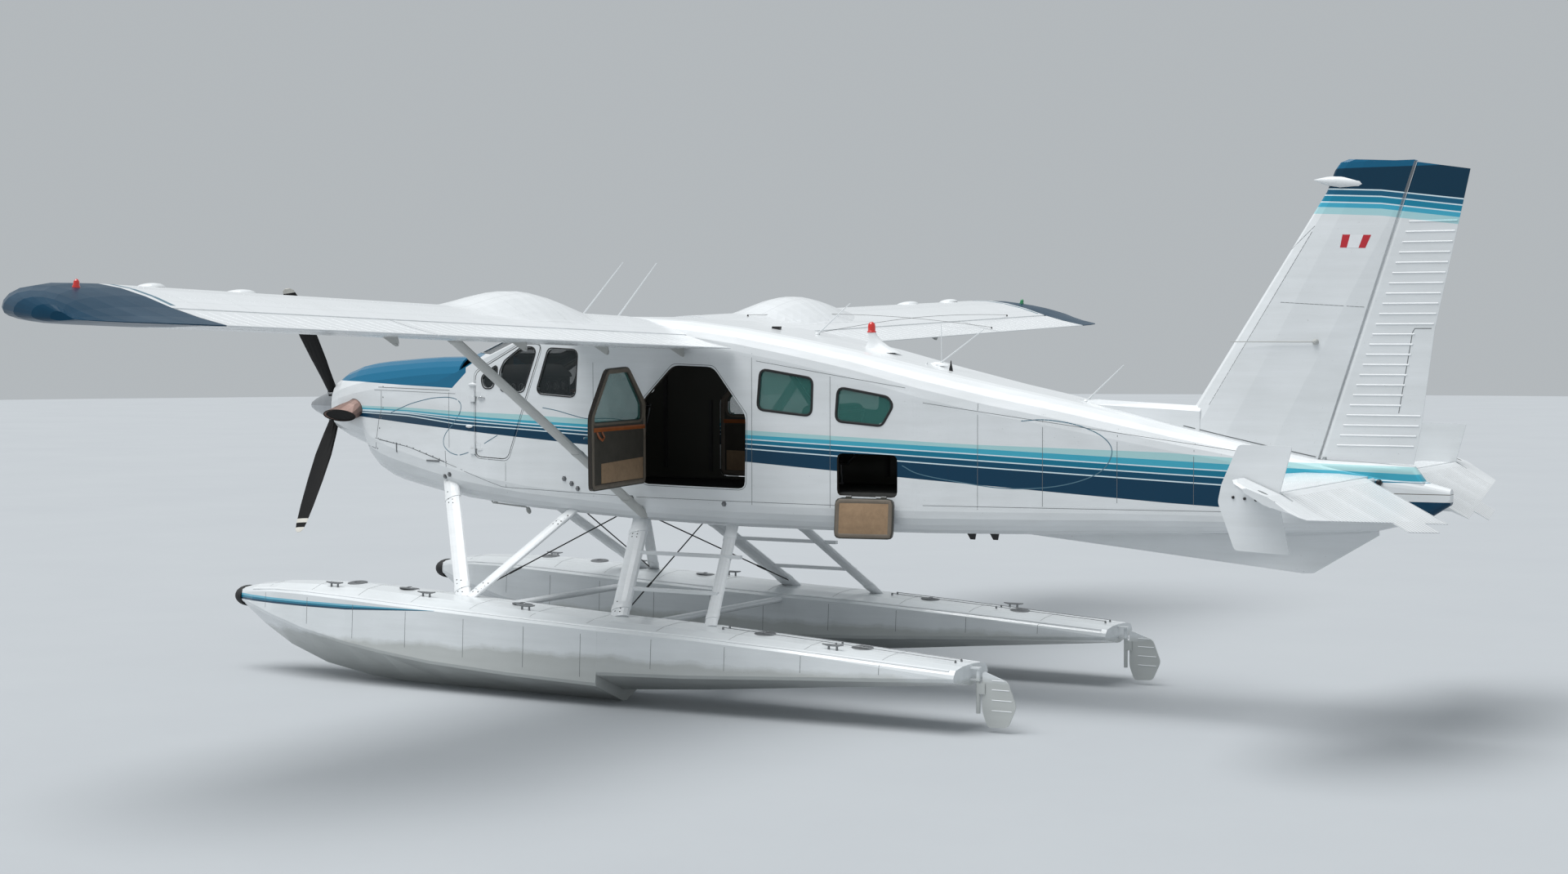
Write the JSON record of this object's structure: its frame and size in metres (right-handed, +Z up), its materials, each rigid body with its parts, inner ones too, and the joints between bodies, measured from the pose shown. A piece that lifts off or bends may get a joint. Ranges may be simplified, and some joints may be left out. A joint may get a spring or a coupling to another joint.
{
  "type": "floatplane",
  "caption": "High-wing single-engined propeller floatplane on twin floats, cabin doors, flaps, ailerons, tail surfaces and water rudders hinged.",
  "frame": {"origin": "middle of the overall length and span, on the floor under the keels", "axes": "+X aft towards the tail, +Y to starboard along the span, +Z up"},
  "size_m": [10.74, 14.6184, 4.168],
  "materials": {
    "white_paint": "gloss",
    "blue_paint": "gloss",
    "grey_paint": "satin",
    "polished": "polished",
    "engine": "satin",
    "exhaust": "heat-tinted",
    "blade": "satin",
    "rubber": "matt",
    "glass": "clear",
    "trim": "matt",
    "leather": "matt",
    "float_paint": "satin"
  },
  "bodies": {
    "airframe": {"nose_cowl": "white_paint", "engine_block": "engine", "firewall": "white_paint", "rear_bulkhead": "white_paint", "cabin_roof": "white_paint", "cabin_belly": "white_paint", "cabin_floor": "trim", "instrument_panel": "trim", "pilot_seat": "leather", "copilot_seat": "leather", "bench_seat": "leather", "windscreen": "glass", "tail_boom": "white_paint", "fin": "white_paint", "tailplane": "white_paint", "spreader_bar_front": "white_paint", "spreader_bar_rear": "white_paint", "cabin_side_port": "white_paint", "exhaust_port": "exhaust", "side_window_port": "glass", "middle_window_port": "glass", "wing_port": "white_paint", "wing_tip_port": "blue_paint", "wing_strut_port": "grey_paint", "finlet_port": "white_paint", "float_port": "float_paint", "bow_bumper_port": "rubber", "front_struts_port": "white_paint", "rear_struts_port": "white_paint", "cabin_side_starboard": "white_paint", "exhaust_starboard": "exhaust", "side_window_starboard": "glass", "middle_window_starboard": "glass", "wing_starboard": "white_paint", "wing_tip_starboard": "blue_paint", "wing_strut_starboard": "grey_paint", "finlet_starboard": "white_paint", "float_starboard": "float_paint", "bow_bumper_starboard": "rubber", "front_struts_starboard": "white_paint", "rear_struts_starboard": "white_paint"},
    "propeller": {"propeller_blades": "blade", "spinner": "polished"},
    "rudder": {"rudder": "white_paint"},
    "elevator": {"elevator": "white_paint"},
    "baggage_door": {"baggage_door": "white_paint"},
    "pilot_door_port": {"pilot_door_port": "white_paint", "pilot_door_window_port": "glass"},
    "cabin_door_port": {"cabin_door_port": "white_paint", "cabin_door_window_port": "glass"},
    "flap_port": {"flap_port": "white_paint"},
    "aileron_port": {"aileron_port": "white_paint"},
    "water_rudder_port": {"water_rudder_port": "grey_paint"},
    "pilot_door_starboard": {"pilot_door_starboard": "white_paint", "pilot_door_window_starboard": "glass"},
    "cabin_door_starboard": {"cabin_door_starboard": "white_paint", "cabin_door_window_starboard": "glass"},
    "flap_starboard": {"flap_starboard": "white_paint"},
    "aileron_starboard": {"aileron_starboard": "white_paint"},
    "water_rudder_starboard": {"water_rudder_starboard": "grey_paint"}
  },
  "joints": [
    {"name": "propeller_spin", "type": "hinge", "parent": "airframe", "child": "propeller", "pos_m": [-5.03, 0, 2.25], "axis": [1, 0, 0], "continuous": true},
    {"name": "pilot_door_port_swing", "type": "hinge", "parent": "airframe", "child": "pilot_door_port", "pos_m": [-3.008, -0.602, 2.25], "axis": [0, 0, -1], "range_deg": [0, 75]},
    {"name": "pilot_door_starboard_swing", "type": "hinge", "parent": "airframe", "child": "pilot_door_starboard", "pos_m": [-3.008, 0.602, 2.25], "axis": [0, 0, 1], "range_deg": [0, 75]},
    {"name": "cabin_door_port_swing", "type": "hinge", "parent": "airframe", "child": "cabin_door_port", "pos_m": [-1.26, -0.639, 2.25], "axis": [0, 0, 1], "range_deg": [0, 83]},
    {"name": "cabin_door_starboard_swing", "type": "hinge", "parent": "airframe", "child": "cabin_door_starboard", "pos_m": [-1.26, 0.639, 2.25], "axis": [0, 0, 1], "range_deg": [0, 83]},
    {"name": "baggage_door_swing", "type": "hinge", "parent": "airframe", "child": "baggage_door", "pos_m": [0.808, -0.565, 1.623], "axis": [-0.9964, -0.0846, 0], "range_deg": [0, 175]},
    {"name": "rudder_swing", "type": "hinge", "parent": "airframe", "child": "rudder", "pos_m": [4.325, 0, 1.985], "axis": [0.3071, 0, 0.9517], "range_deg": [-25, 25]},
    {"name": "elevator_swing", "type": "hinge", "parent": "airframe", "child": "elevator", "pos_m": [4.712, 0, 1.84], "axis": [0, -1, 0], "range_deg": [0, 50]},
    {"name": "aileron_port_swing", "type": "hinge", "parent": "airframe", "child": "aileron_port", "pos_m": [-0.8, -5.425, 2.99106], "axis": [0, -0.9995, 0.0314], "range_deg": [-25, 25]},
    {"name": "aileron_starboard_swing", "type": "hinge", "parent": "airframe", "child": "aileron_starboard", "pos_m": [-0.8, 5.425, 2.99106], "axis": [0, -0.9995, -0.0314], "range_deg": [-25, 25]},
    {"name": "flap_port_swing", "type": "hinge", "parent": "airframe", "child": "flap_port", "pos_m": [-0.8, -2.53, 2.90008], "axis": [0, 0.9995, -0.0314], "range_deg": [0, 50]},
    {"name": "flap_starboard_swing", "type": "hinge", "parent": "airframe", "child": "flap_starboard", "pos_m": [-0.8, 2.53, 2.90008], "axis": [0, 0.9995, 0.0314], "range_deg": [0, 50]},
    {"name": "water_rudder_port_swing", "type": "hinge", "parent": "airframe", "child": "water_rudder_port", "pos_m": [2.192, -1.4, 0.3], "axis": [0, 0, 1], "range_deg": [-30, 30]},
    {"name": "water_rudder_starboard_swing", "type": "hinge", "parent": "airframe", "child": "water_rudder_starboard", "pos_m": [2.192, 1.4, 0.3], "axis": [0, 0, 1], "range_deg": [-30, 30]}
  ],
  "couplings": [
    {"joint": "aileron_starboard_swing", "follows": "aileron_port_swing", "ratio": -1},
    {"joint": "flap_starboard_swing", "follows": "flap_port_swing", "ratio": 1},
    {"joint": "water_rudder_starboard_swing", "follows": "water_rudder_port_swing", "ratio": 1}
  ]
}
